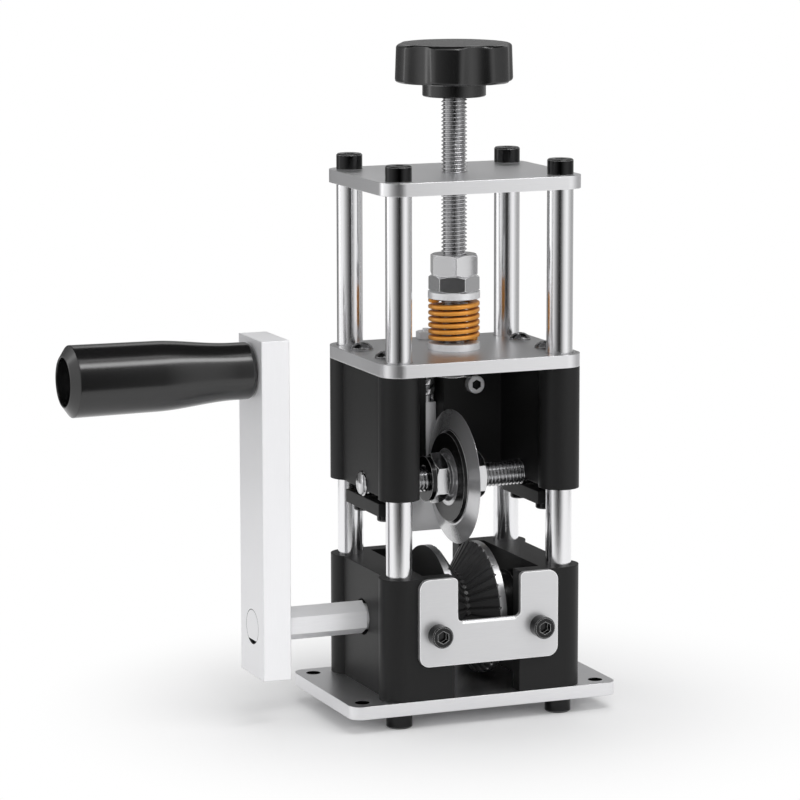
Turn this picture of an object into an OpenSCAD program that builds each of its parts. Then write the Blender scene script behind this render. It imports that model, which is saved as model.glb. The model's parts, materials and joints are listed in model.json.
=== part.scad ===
// Hand-cranked bench wire stripper. A toothed feed roller turns in the base block, a round blade
// rides above it on a sprung carriage, and a hand screw drives the carriage along four columns.
// Z = 0 is the underside of the base plate, X = Y = 0 is midway between the columns,
// the wire enters from -Y and the crank is at -X.

/* [Columns] */
// Distance between the column axes, left to right
column_gap_x = 66; // [64:1:84]
// Distance between the column axes, front to back
column_gap_y = 50; // [48:1:66]
// Diameter of the columns
column_d = 10; // [8:0.5:12]
// Wall of the slide bushes in the carriage
bush_wall = 1.2; // [0.8:0.1:2]
// Wall of the blocks around a bush
boss_wall = 1.6; // [1.2:0.1:4]
// Depth of the side panels behind the corner bosses
panel_recess = 2.8; // [1:0.1:4]
// Thickness of the blocks' side walls
side_wall = 14; // [13:0.5:16]

/* [Plates] */
// Thickness of the base plate
base_plate_t = 5; // [3:0.5:10]
// Reach of the base plate past the base block, left and right
base_overhang = 14.2; // [12:0.1:40]
// Reach of the base plate past the base block, front and back
base_lip = 0.2; // [0.2:0.1:20]
// Corner radius of the base plate
base_corner_r = 5; // [2:0.5:10]
// Diameter of the bench bolt holes in the base plate
base_hole_d = 5.5; // [4:0.1:8]
// Distance of the bench bolt holes from the plate's ends
base_hole_inset_x = 6.5; // [6:0.1:12]
// Distance of the bench bolt holes from the plate's front and back edges
base_hole_inset_y = 7; // [6:0.1:12]
// Thickness of the plate on top of the carriage
carriage_plate_t = 5; // [3:0.5:8]
// Thickness of the top plate
top_plate_t = 5; // [4:0.5:8]
// Free column length between the carriage plate and the top plate
top_gap = 63; // [58:1:100]

/* [Base block] */
// Height of the base block
block_h = 47; // [44:0.5:52]
// Width of the front slot
front_slot_w = 26.8; // [24:0.2:30]
// Height of the chip window under the bridge at the back
chip_window_h = 13.5; // [8:0.5:16]
// Height of the bridge at the back
bridge_h = 16.5; // [10:0.5:20]

/* [Guide plate] */
// Width of the guide plate
guide_w = 57; // [54:0.5:60]
// Height of the guide plate
guide_h = 33.6; // [30:0.1:38]
// Thickness of the guide plate
guide_t = 2; // [1.5:0.1:4]
// Width of the notch that the wire goes through
notch_w = 26; // [20:0.5:30]
// Depth of the notch
notch_h = 17; // [12:0.5:18]
// Corner radius of the guide plate
guide_corner_r = 4; // [2:0.5:6]
// Chamfer along the front of the notch's lower edge
notch_chamfer = 0.9; // [0.3:0.1:1.2]
// Radius of the two corners beside the notch
notch_lip_r = 1.8; // [0.5:0.1:2.5]
// Thread of the guide plate's screws
guide_screw_d = 5; // [4:0.5:6]
// Head diameter of the guide plate's screws
guide_head_d = 8.5; // [7:0.1:10]
// Head height of the guide plate's screws
guide_head_h = 5; // [4:0.1:6]
// Distance between the guide plate's screws
guide_screw_gap = 42; // [38:0.5:44]
// Height of those screws above the guide plate's lower edge
guide_screw_z = 12.2; // [8:0.1:14]

/* [Feed roller] */
// Outer radius of the feed roller
roller_r = 25.5; // [22:0.1:26]
// Room under the roller
roller_floor_gap = 1.5; // [1:0.1:4]
// Half width of the V-groove at its rims
groove_half_w = 8.5; // [6:0.1:12]
// Radius at the bottom of the groove
groove_r = 15; // [12:0.1:18]
// Width of the flat at the bottom of the groove
groove_flat = 1.6; // [0.8:0.1:3]
// Width of each rim
rim_w = 3; // [2:0.1:6]
// Number of teeth on each cone
roller_teeth = 36; // [24:1:48]
// Depth of the teeth
tooth_depth = 0.9; // [0.4:0.1:1.4]
// Radius of the spacers beside the roller
spacer_r = 13.5; // [11:0.5:18]

/* [Drive shaft] */
// Diameter of the shaft in the bearings
shaft_d = 10; // [8:0.5:10]
// Diameter of the bar that the drive end is milled from
shaft_bar_d = 13; // [12:0.1:13.4]
// Size of the hexagon across its flats
hex_af = 11.2; // [10.8:0.1:11.2]
// Length of the shaft between the base block and the crank arm
shaft_reach = 34; // [20:0.5:60]
// Outer diameter of the ball bearings
bearing_od = 22; // [20:0.5:24]
// Width of the ball bearings
bearing_w = 6; // [5:0.5:7]
// Thickness of the bearing rings
bearing_ring = 1.8; // [1.4:0.1:2]
// Number of balls in a bearing
bearing_balls = 9; // [6:1:10]
// Size of the key that drives the roller
key_w = 3; // [2:0.5:4]

/* [Crank] */
// Thickness of the crank arm
arm_t = 11; // [8:0.5:16]
// Width of the crank arm
arm_w = 25; // [20:0.5:32]
// Distance from the shaft to the grip's bolt
crank_throw = 98.5; // [70:0.5:140]
// Length of the arm past the shaft
arm_below = 18.8; // [14:0.1:30]
// Length of the arm past the grip's bolt
arm_above = 12.4; // [10:0.1:20]
// Depth of the flat on the shaft under the grub screw
shaft_flat = 1.5; // [0.5:0.1:2]

/* [Grip] */
// Length of the grip
grip_len = 73; // [60:1:120]
// Diameter of the grip at the arm
grip_small_d = 21.5; // [20:0.5:26]
// Diameter of the grip at its free end
grip_big_d = 27; // [26:0.5:34]
// Length of the chamfer at the grip's free end
grip_chamfer = 3; // [1:0.1:4]
// Diameter of the recess in the free end
grip_recess_d = 18; // [16:0.5:20]
// Depth of the recess in the free end
grip_recess_h = 12; // [9:0.5:24]
// Diameter of the bolt that the grip turns on
grip_bolt_d = 8; // [6:0.5:10]

/* [Blade] */
// Radius of the blade
blade_r = 26; // [22:0.1:26.2]
// Radius where the blade's bevels start
blade_flat_r = 18.7; // [18.5:0.1:20]
// Thickness of the blade
blade_t = 3.4; // [2:0.1:4]
// Gap between the blade's edge and the roller's rims at rest
nip_gap = 0.5; // [0.3:0.1:2]
// Diameter of the threaded blade axle
axle_d = 10; // [8:0.5:10]
// Height of the axle above the carriage's lower face
axle_above = 2; // [1:0.1:4]
// Thickness of the axle straps
strap_t = 5; // [3:0.5:8]
// Length of the axle straps
strap_l = 34; // [32:0.5:36]
// Thickness of the blade nuts
blade_nut_h = 5.4; // [4:0.1:8]

/* [Carriage] */
// Height of the carriage
carriage_h = 47; // [44:0.5:60]
// Thickness of the carriage's cheeks
cheek_t = 10; // [9:0.5:11]
// Distance of the screws in the cheeks from the middle, front to back
cheek_screw_y = 12; // [11:0.5:13]
// Distance of the back wall's front face behind the middle
wall_front = 19; // [18:0.5:20]
// Thickness of the rear cover
cover_t = 2; // [1.5:0.1:3]
// Height of the rear cover
cover_h = 18; // [14:0.5:24]
// Distance of the rear cover's screws below the top of the carriage
cover_drop = 12.5; // [11:0.5:14]
// Distance between the rear cover's screws
cover_screw_gap = 32.4; // [28:0.2:36]
// Least wall behind the slot of the presser's spring
slot_wall = 1; // [0.6:0.1:1.2]

/* [Presser] */
// Width of the presser's plate
presser_w = 22; // [18:0.5:24]
// Width of the presser's shank
shank_w = 7; // [6:0.5:8]
// Thickness of the presser
presser_t = 3; // [2.6:0.1:3.2]
// Height of the presser's plate
presser_h = 26; // [22:0.5:28]
// Length of the presser's spring
presser_spring_l = 20; // [18:0.5:24]
// Outer diameter of the presser's spring
presser_spring_d = 7; // [6.4:0.1:7]
// Wire of the presser's spring
presser_wire = 1.5; // [0.9:0.1:1.5]
// Turns of the presser's spring
presser_turns = 4.5; // [4:0.5:6]
// Diameter of the presser's stem
stem_d = 2.8; // [2.4:0.1:3]

/* [Hand screw] */
// Diameter of the spindle's thread
spindle_d = 10; // [8:0.5:10]
// Length of spindle seen between the top plate and the knob
spindle_out = 28.8; // [20:0.1:40]
// Size of the nuts across their flats
nut_af = 17; // [16:0.5:18]
// Height of the upper lock nut
nut_h = 8; // [6:0.5:10]
// Height of the lower lock nut
lower_nut_h = 6.3; // [5:0.1:10]
// Turned position of the lower lock nut
lower_nut_turn = 3; // [0:1:60]
// Turned position of the upper lock nut
upper_nut_turn = 44; // [0:1:60]
// Outer diameter of the spring washers
washer_d = 20; // [18:0.5:22]
// Thickness of the spring washers
washer_t = 2.5; // [1.5:0.1:3]
// Length of the die spring
die_spring_l = 17.2; // [16:0.1:24]
// Outer diameter of the die spring
die_spring_d = 19.8; // [18.6:0.1:20]
// Radial width of the die spring's flat wire
die_wire_w = 3.8; // [3:0.1:3.8]
// Axial thickness of the die spring's flat wire
die_wire_t = 1.7; // [1.2:0.1:1.7]
// Turns of the die spring
die_turns = 6.5; // [4:0.5:6.5]
// Thickness of the nut under the carriage plate
keeper_nut_h = 5; // [4:0.5:6]

/* [Knob] */
// Diameter of the knob over its lobes
knob_d = 46; // [36:0.5:60]
// Height of the lobed part of the knob
knob_h = 15.2; // [12:0.1:24]
// Number of lobes
knob_lobes = 6; // [5:1:12]
// Depth of the hollows between the lobes
knob_hollow = 2.4; // [0.8:0.1:3]
// Height of the knob's round shoulder
knob_dome = 1.7; // [1:0.1:5]
// Diameter of the knob's collar
collar_d = 24.2; // [18:0.1:28]
// Height of the knob's collar
collar_h = 5.3; // [3:0.1:10]

/* [Screws] */
// Thread of the column and guide plate screws
screw_d = 6; // [5:0.5:6]
// Head diameter of those screws
screw_head_d = 10; // [8.5:0.1:11]
// Head height of those screws
screw_head_h = 6; // [4:0.1:7]
// Length of the column screws in the columns
screw_in_column = 12; // [8:0.5:16]
// Thread of the small screws
small_screw_d = 4; // [3:0.5:4]
// Head diameter of the small screws
small_head_d = 7; // [6:0.1:7.6]
// Head height of the small screws
small_head_h = 2.6; // [2:0.1:4]
// Head diameter of the domed screws on the carriage plate
button_head_d = 8.4; // [7.2:0.1:9]
// Head height of the domed screws
button_head_h = 2.8; // [2.2:0.1:3.2]
// Length of the small screws in the blocks
small_screw_in = 9; // [6:0.5:12]

/* [Clearances] */
// Radial clearance of a sliding or turning fit
run_fit = 0.05; // [0.02:0.01:0.1]
// Radial clearance of a fixed fit
seat_fit = 0.02; // [0.01:0.01:0.05]
// Radial clearance of a screw in its hole
screw_clear = 0.3; // [0.1:0.05:0.5]
// Gap between faces that move past each other
run_gap = 0.3; // [0.2:0.05:0.6]

/* [Hidden] */
$fn = 64;
EPS = 0.01;
CUT = 1;

// Plan of the blocks
half_x = column_gap_x / 2;
bush_r = column_d / 2 + bush_wall;
boss_r = bush_r + boss_wall;
presser_front = blade_r + run_gap;
presser_y = presser_front + presser_t / 2;
slot_half_w = max(shank_w, presser_spring_d) / 2 + run_gap;
half_y = max(column_gap_y / 2, presser_y + slot_half_w + slot_wall - boss_r);
block_x = half_x + boss_r;
block_y = half_y + boss_r;
panel_x = block_x - panel_recess;
panel_y = block_y - panel_recess;
cavity_x = panel_x - side_wall;
cavity_y = roller_r + 1;
base_x = block_x + base_overhang;
base_y = block_y + base_lip;
base_hole_x = base_x - base_hole_inset_x;
base_hole_y = base_y - base_hole_inset_y;

// Heights
block_top = base_plate_t + block_h;
shaft_z = base_plate_t + roller_floor_gap + roller_r;
axle_z = shaft_z + roller_r + nip_gap + blade_r;
carriage_low = axle_z - axle_above;
carriage_top = carriage_low + carriage_h;
carriage_plate_top = carriage_top + carriage_plate_t;
top_plate_low = carriage_plate_top + top_gap;
top_plate_top = top_plate_low + top_plate_t;
guide_low = block_top - guide_h;

// Drive line along X
bearing_lip_d = shaft_bar_d + 1;
roller_half_w = groove_half_w + rim_w;
spacer_nose = 2;
shaft_right = panel_x - 2;
hex_right = -panel_x - 0.3;
arm_inner = -panel_x - shaft_reach;
arm_outer = arm_inner - arm_t;
grip_z = shaft_z + crank_throw;
grip_start = arm_outer - run_gap;
grip_end = grip_start - grip_len;
grip_recess_floor = grip_end + grip_recess_h;
grip_head_d = grip_bolt_d + 5;
grip_head_h = 5;
grub_d = 6;
grub_l = 8;

// Blade and its hub along X
blade_bearing_half = bearing_w / 2;
hub_flange_r = blade_flat_r - 0.6;
hub_barrel_r = bearing_od / 2 + 3;
blade_spacer_l = 2;
blade_nut_x = blade_bearing_half + blade_spacer_l;
axle_washer_t = 2;
axle_washer_d = 17.6;
axle_half_l = panel_x + 1;
cheek_x = panel_x - cheek_t / 2;
strap_top = axle_z - axle_d / 2;

// Presser behind the blade, in a slot of the carriage's back wall
presser_stroke = 6;
presser_low = axle_z - blade_r;
presser_top = carriage_top - presser_spring_l;
slot_back = presser_front + presser_t + run_gap;
stem_nut_af = 7;
stem_nut_h = 3;
toe_h = 2;
toe_out = 2.5;
cover_screw_z = carriage_top - cover_drop;
cover_low = cover_screw_z - cover_h / 2;

// Stack on the spindle
seat_washer_top = carriage_plate_top + washer_t;
die_spring_top = seat_washer_top + die_spring_l;
top_washer_top = die_spring_top + washer_t;
lower_nut_top = top_washer_top + lower_nut_h;
upper_nut_top = lower_nut_top + nut_h;
keeper_top = carriage_top - run_gap;
knob_low = top_plate_top + spindle_out;
knob_body_low = knob_low + collar_h;
knob_top = knob_body_low + knob_h;
spindle_low = keeper_top - keeper_nut_h;
spindle_top = knob_top - knob_dome - 3;

// A cylinder along X from x0 to x1
module rod_x(x0, x1, r) {
    translate([x0, 0, 0]) rotate([0, 90, 0]) cylinder(h = x1 - x0, r = r);
}

// A hexagonal bar along Z, size across its flats, flats facing +X and -X
module hex_bar(af, h) {
    rotate([0, 0, 30]) cylinder(h = h, d = af / cos(30), $fn = 6);
}

// Four copies at the column axes
module at_columns() {
    for (x = [-half_x, half_x], y = [-half_y, half_y]) translate([x, y]) children();
}

// Four copies at the screws of the cheeks
module at_cheek_screws() {
    for (x = [-cheek_x, cheek_x], y = [-cheek_screw_y, cheek_screw_y]) translate([x, y, 0]) children();
}

// A flat rectangle with round corners
module round_rect(w, d, r) {
    for (x = [-1, 1], y = [-1, 1]) translate([x * (w / 2 - r), y * (d / 2 - r)]) circle(r);
    square([w - 2 * r, d], center = true);
    square([w, d - 2 * r], center = true);
}

// Share of the grip's swell at a share t of its length from the arm
function grip_rise(t) = let (x = min(max((t - 0.08) / 0.44, 0), 1)) x * x * (3 - 2 * x);
function grip_swell(t) = 0.765 * grip_rise(t) + 0.235 * t;

// A screw with a domed head along -Z, its head standing on Z = 0
module button_screw(d, head_d, head_h, length) {
    rim = head_h * 0.2;
    rise = head_h - rim;
    dome_r = (head_d * head_d / 4 + rise * rise) / (2 * rise);
    difference() {
        union() {
            intersection() {
                cylinder(h = head_h, d = head_d);
                translate([0, 0, head_h - dome_r]) sphere(dome_r);
            }
            translate([0, 0, -length]) cylinder(h = length + rim, d = d);
        }
        translate([0, 0, head_h / 2]) hex_bar(head_d * 0.36, head_h);
    }
}

// A socket screw along -Z, its head standing on Z = 0
module socket_screw(d, head_d, head_h, length) {
    edge = head_d * 0.05;
    socket_af = head_d * 0.5;
    difference() {
        rotate_extrude()
            polygon([[0, -length], [d / 2, -length], [d / 2, 0], [head_d / 2, 0],
                     [head_d / 2, head_h - edge], [head_d / 2 - edge, head_h], [0, head_h]]);
        translate([0, 0, head_h / 2]) hex_bar(socket_af, head_h);
    }
}

// A column screw for a plate of thickness t
module column_screw(t) {
    socket_screw(screw_d, screw_head_d, screw_head_h, t + screw_in_column);
}

// A hexagonal nut along Z with chamfered corners
module hex_nut(af, h, bore_r) {
    corner_r = af / 2 / cos(30);
    drop = (corner_r - af / 2) * 0.6;
    difference() {
        intersection() {
            hex_bar(af, h);
            rotate_extrude()
                polygon([[0, 0], [af / 2, 0], [corner_r, drop], [corner_r, h - drop], [af / 2, h], [0, h]]);
        }
        translate([0, 0, -CUT]) cylinder(h = h + 2 * CUT, r = bore_r);
    }
}

// A flat ring along Z
module washer(outer_r, bore_r, t) {
    difference() {
        cylinder(h = t, r = outer_r);
        translate([0, 0, -CUT]) cylinder(h = t + 2 * CUT, r = bore_r);
    }
}

// A ring along X, centred on x
module ring_x(x, w, outer_r, bore_r) {
    translate([x - w / 2, 0, 0]) rotate([0, 90, 0]) washer(outer_r, bore_r, w);
}

// The balls of a bearing along X, centred on x, for a shaft of diameter d
module bearing_ball_set(x, d) {
    gap_low = d / 2 + bearing_ring;
    gap_high = bearing_od / 2 - bearing_ring;
    ball_r = (gap_high - gap_low) / 2 - run_fit;
    for (i = [0 : bearing_balls - 1])
        rotate([i * 360 / bearing_balls, 0, 0])
            translate([x, 0, (gap_low + gap_high) / 2]) sphere(ball_r, $fn = 32);
}

// Points of a coil: section points carried round the axis, with a short straight stretch at both ends
RINGS = 8;
function coil_point(r, angle, z, section, stretch) =
    let (out = r + section[0])
    [out * cos(angle) - stretch * sin(angle), out * sin(angle) + stretch * cos(angle), z + section[1]];
function coil_ring(r, angle, z, sections, stretch = 0) =
    [for (s = sections) coil_point(r, angle, z, s, stretch)];
function coil_rings(r, z0, z1, turns, sections, stretch) =
    let (n = round(turns * RINGS))
    concat(
        [coil_ring(r, 0, z0, sections, -stretch)],
        [for (i = [0 : n]) coil_ring(r, i * 360 / RINGS, z0 + (z1 - z0) * i / n, sections)],
        [coil_ring(r, n * 360 / RINGS, z1, sections, stretch)]);
// Least distance between the points of one turn and those of the next
function coil_gap(rings) =
    min([for (i = [0 : len(rings) - 1 - RINGS], p = rings[i], q = rings[i + RINGS]) norm(q - p)]);
// Flat wire: a rectangle with its inner and outer edges drawn to a point
function flat_wire(w, t) =
    [[-w / 2, 0], [-w * 0.36, -t / 2], [w * 0.36, -t / 2],
     [w / 2, 0], [w * 0.36, t / 2], [-w * 0.36, t / 2]];
// Round wire as a hexagon
function round_wire(d) = [for (a = [180 : 60 : 480]) [d / 2 * cos(a), d / 2 * sin(a)]];

// One unbroken tube through the rings
module coil(rings) {
    sides = len(rings[0]);
    last = (len(rings) - 1) * sides;
    points = [for (ring = rings, p = ring) p];
    skin = [for (i = [0 : len(rings) - 2], j = [0 : sides - 1], half = [0, 1])
        let (a = i * sides + j, b = i * sides + (j + 1) % sides)
        half == 0 ? [a, b + sides, b] : [a, a + sides, b + sides]];
    caps = [for (j = [1 : sides - 2], end = [0, 1])
        end == 0 ? [0, j, j + 1] : [last, last + j + 1, last + j]];
    polyhedron(points, concat(skin, caps));
}

// Column rod with a tapped hole in each end
module column(x, y) {
    color("gainsboro") translate([x, y, 0])
        difference() {
            translate([0, 0, base_plate_t]) cylinder(h = top_plate_low - base_plate_t, d = column_d);
            translate([0, 0, base_plate_t - CUT])
                cylinder(h = screw_in_column + 2 + CUT, d = screw_d + 2 * seat_fit);
            translate([0, 0, top_plate_low - screw_in_column - 2])
                cylinder(h = screw_in_column + 2 + CUT, d = screw_d + 2 * seat_fit);
        }
}

// Outline of a block: four round bosses joined by walls
module boss_outline() {
    at_columns() circle(boss_r);
}

module base_plate() {
    color("silver") difference() {
        linear_extrude(base_plate_t) round_rect(2 * base_x, 2 * base_y, base_corner_r);
        at_columns() translate([0, 0, -CUT])
            cylinder(h = base_plate_t + 2 * CUT, d = screw_d + 2 * screw_clear);
        for (x = [-base_hole_x, base_hole_x], y = [-base_hole_y, base_hole_y])
            translate([x, y, -CUT]) cylinder(h = base_plate_t + 2 * CUT, d = base_hole_d);
    }
}

module foot_screws() {
    color("dimgray") at_columns() mirror([0, 0, 1]) column_screw(base_plate_t);
}

// Walls round the roller, split at the front and the back by a slot
module base_outline() {
    difference() {
        union() {
            boss_outline();
            square([2 * panel_x, 2 * half_y], center = true);
            square([column_gap_x, 2 * block_y], center = true);
        }
        square([2 * cavity_x, 2 * cavity_y], center = true);
        square([front_slot_w, 2 * block_y + 2 * CUT], center = true);
        at_columns() circle(column_d / 2 + seat_fit);
    }
}

module base_block() {
    color("#1c1c1e") difference() {
        union() {
            translate([0, 0, base_plate_t]) linear_extrude(block_h) base_outline();
            translate([-front_slot_w / 2 - EPS, cavity_y, base_plate_t + chip_window_h])
                cube([front_slot_w + 2 * EPS, block_y - cavity_y, bridge_h]);
        }
        translate([0, 0, shaft_z]) {
            rod_x(-panel_x - CUT, panel_x + CUT, bearing_lip_d / 2);
            rod_x(-cavity_x - bearing_w, cavity_x + bearing_w, bearing_od / 2 + seat_fit);
        }
        for (x = [-1, 1])
            translate([x * guide_screw_gap / 2, -block_y - CUT, guide_low + guide_screw_z])
                rotate([-90, 0, 0])
                    cylinder(h = block_y - cavity_y + 2 * CUT, d = guide_screw_d + 2 * seat_fit);
    }
}
module column_front_left() { column(-half_x, -half_y); }
module column_front_right() { column(half_x, -half_y); }
module column_rear_left() { column(-half_x, half_y); }
module column_rear_right() { column(half_x, half_y); }

module top_plate() {
    color("silver") translate([0, 0, top_plate_low]) difference() {
        linear_extrude(top_plate_t) round_rect(2 * block_x, 2 * block_y, boss_r);
        at_columns() translate([0, 0, -CUT])
            cylinder(h = top_plate_t + 2 * CUT, d = screw_d + 2 * screw_clear);
        translate([0, 0, -CUT]) cylinder(h = top_plate_t + 2 * CUT, d = spindle_d + 2 * run_fit);
    }
}

module top_screws() {
    color("dimgray") translate([0, 0, top_plate_top]) at_columns() column_screw(top_plate_t);
}

// Outline of the guide plate, X across and Y up, with the notch in its upper edge
module guide_outline() {
    notch_r = guide_corner_r / 2;
    intersection() {
        difference() {
            translate([0, guide_h / 2]) round_rect(guide_w, guide_h, guide_corner_r);
            translate([0, guide_h]) round_rect(notch_w, 2 * notch_h, notch_r);
        }
        union() {
            translate([-guide_w, 0]) square([2 * guide_w, guide_h - notch_h + notch_r]);
            for (side = [-1, 1]) translate([side * (notch_w + guide_w) / 2, guide_h / 2])
                round_rect(guide_w, guide_h, notch_lip_r);
        }
    }
}

module guide_plate() {
    flat_w = notch_w - guide_corner_r;
    color("gainsboro") translate([0, -block_y, guide_low]) rotate([90, 0, 0]) difference() {
        linear_extrude(guide_t) guide_outline();
        for (x = [-1, 1]) translate([x * guide_screw_gap / 2, guide_screw_z, -CUT])
            cylinder(h = guide_t + 2 * CUT, d = guide_screw_d + 2 * screw_clear);
        translate([-flat_w / 2, guide_h - notch_h, guide_t]) rotate([90, 0, 90]) linear_extrude(flat_w)
            polygon([[-notch_chamfer - CUT, CUT], [CUT, -notch_chamfer - CUT], [CUT, CUT]]);
    }
}

module guide_screws() {
    color("dimgray") for (x = [-1, 1])
        translate([x * guide_screw_gap / 2, -block_y - guide_t, guide_low + guide_screw_z])
            rotate([90, 0, 0])
                socket_screw(guide_screw_d, guide_head_d, guide_head_h, guide_t + block_y - cavity_y);
}

// Shaft bearings: the outer rings sit in the base block, the inner rings on the shaft
bearing_x = cavity_x + bearing_w / 2;
module bearing_outer(x) {
    color("lightgray") translate([0, 0, shaft_z])
        ring_x(x, bearing_w, bearing_od / 2, bearing_od / 2 - bearing_ring);
}
module bearing_inner(x) {
    color("lightgray") translate([0, 0, shaft_z])
        ring_x(x, bearing_w, shaft_d / 2 + bearing_ring, shaft_d / 2 + seat_fit);
}
module bearing_set(x) { color("silver") translate([0, 0, shaft_z]) bearing_ball_set(x, shaft_d); }
module left_bearing_outer() { bearing_outer(-bearing_x); }
module right_bearing_outer() { bearing_outer(bearing_x); }
module left_bearing_inner() { bearing_inner(-bearing_x); }
module right_bearing_inner() { bearing_inner(bearing_x); }
module left_bearing_balls() { bearing_set(-bearing_x); }
module right_bearing_balls() { bearing_set(bearing_x); }

// Key seat along the shaft, cut from the shaft and the roller alike
module key_bar(length, extra) {
    translate([-length / 2, -key_w / 2 - extra, shaft_d / 2 - key_w / 2 - extra])
        cube([length, key_w + 2 * extra, key_w + 2 * extra]);
}

module drive_shaft() {
    color("gainsboro") translate([0, 0, shaft_z]) difference() {
        union() {
            rod_x(arm_outer, arm_inner, shaft_bar_d / 2);
            intersection() {
                rod_x(arm_inner, hex_right, shaft_bar_d / 2);
                translate([arm_inner, 0, 0]) rotate([0, 90, 0]) rotate([0, 0, 90])
                    hex_bar(hex_af, hex_right - arm_inner);
            }
            rod_x(arm_outer, shaft_right, shaft_d / 2);
        }
        key_bar(2 * roller_half_w, seat_fit);
        translate([arm_outer - CUT, -shaft_bar_d / 2, -shaft_bar_d / 2 - CUT])
            cube([arm_t + CUT, shaft_bar_d, shaft_flat + CUT]);
    }
}

module roller_key() {
    color("gray") translate([0, 0, shaft_z]) key_bar(2 * roller_half_w, 0);
}

// One half of the roller: a rim and a cone with radial teeth, drawn towards +X
module roller_half() {
    flat = groove_flat / 2;
    bore_r = shaft_d / 2 + seat_fit;
    cone_l = norm([groove_half_w - flat, roller_r - groove_r]);
    cone_angle = atan2(roller_r - groove_r, groove_half_w - flat);
    cut_side = tooth_depth * sqrt(2);
    difference() {
        rotate([0, 90, 0]) rotate_extrude($fn = 96)
            polygon([[bore_r, 0], [groove_r, 0], [groove_r, flat], [roller_r, groove_half_w],
                     [roller_r, roller_half_w], [bore_r, roller_half_w]]);
        for (i = [0 : roller_teeth - 1]) rotate([i * 360 / roller_teeth, 0, 0])
            translate([(groove_half_w + flat) / 2, 0, (roller_r + groove_r) / 2])
                rotate([0, -cone_angle, 0]) rotate([45, 0, 0])
                    cube([cone_l + 2, cut_side, cut_side], center = true);
        key_bar(2 * roller_half_w + 2 * CUT, seat_fit);
    }
}
module roller_right() { color("#3a3a3c") translate([0, 0, shaft_z]) roller_half(); }
module roller_left() { mirror([1, 0, 0]) roller_right(); }

// Spacer between the roller and a bearing's inner ring, drawn towards +X
module roller_spacer() {
    body_end = cavity_x - spacer_nose;
    nose_r = shaft_d / 2 + bearing_ring - 0.2;
    difference() {
        union() {
            rod_x(roller_half_w, body_end, spacer_r);
            rod_x(roller_half_w, cavity_x, nose_r);
        }
        rod_x(roller_half_w - CUT, cavity_x + CUT, shaft_d / 2 + seat_fit);
    }
}
module right_roller_spacer() { color("#48484a") translate([0, 0, shaft_z]) roller_spacer(); }
module left_roller_spacer() { mirror([1, 0, 0]) right_roller_spacer(); }

module crank_arm() {
    color("whitesmoke") difference() {
        translate([arm_outer, -arm_w / 2, shaft_z - arm_below])
            cube([arm_t, arm_w, arm_below + crank_throw + arm_above]);
        translate([0, 0, shaft_z]) rod_x(arm_outer - CUT, arm_inner + CUT, shaft_bar_d / 2 + seat_fit);
        translate([0, 0, grip_z]) rod_x(arm_outer - CUT, arm_inner + CUT, grip_bolt_d / 2 + seat_fit);
        translate([(arm_outer + arm_inner) / 2, 0, shaft_z - arm_below - CUT])
            cylinder(h = arm_below, d = grub_d + 2 * seat_fit);
    }
}

// Grub screw from the arm's lower end onto the flat of the shaft
module arm_grub_screw() {
    grub_top = shaft_z - shaft_bar_d / 2 + shaft_flat;
    color("dimgray") translate([(arm_outer + arm_inner) / 2, 0, grub_top - grub_l]) difference() {
        cylinder(h = grub_l, d = grub_d);
        translate([0, 0, -CUT]) hex_bar(grub_d / 2, 3 + CUT);
    }
}

module grip_bolt() {
    head_x = grip_recess_floor - run_gap;
    color("silver") translate([0, 0, grip_z]) {
        rod_x(head_x, arm_inner, grip_bolt_d / 2);
        difference() {
            rod_x(head_x - grip_head_h, head_x, grip_head_d / 2);
            translate([head_x - grip_head_h - CUT, 0, 0]) rotate([0, 90, 0])
                hex_bar(grip_bolt_d * 0.75, 3 + CUT);
        }
    }
}

// Swelling handle: the radius grows fast near the arm and levels off towards the free end
module grip() {
    lip = 0.6;
    edge = 2;
    steps = 16;
    small_r = grip_small_d / 2;
    big_r = grip_big_d / 2;
    body_len = grip_len - grip_chamfer - edge;
    color("#141414") translate([grip_end, 0, grip_z]) rotate([0, 90, 0]) difference() {
        rotate_extrude() polygon(concat(
            [[0, 0], [grip_recess_d / 2 + lip, 0]],
            [for (i = [steps : -1 : 0]) let (t = i / steps)
                [small_r + (big_r - small_r) * grip_swell(t), grip_len - edge - t * body_len]],
            [for (a = [30 : 30 : 90]) [small_r - edge + edge * cos(a), grip_len - edge + edge * sin(a)]],
            [[0, grip_len]]));
        translate([0, 0, -CUT]) cylinder(h = grip_len + 2 * CUT, r = grip_bolt_d / 2 + run_fit);
        translate([0, 0, -CUT]) cylinder(h = grip_recess_h + CUT, d = grip_recess_d);
    }
}

// Hand screw
module spindle() {
    edge = 1;
    color("silver") rotate_extrude()
        polygon([[0, spindle_low], [spindle_d / 2 - edge, spindle_low], [spindle_d / 2, spindle_low + edge],
                 [spindle_d / 2, spindle_top], [0, spindle_top]]);
}

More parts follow.
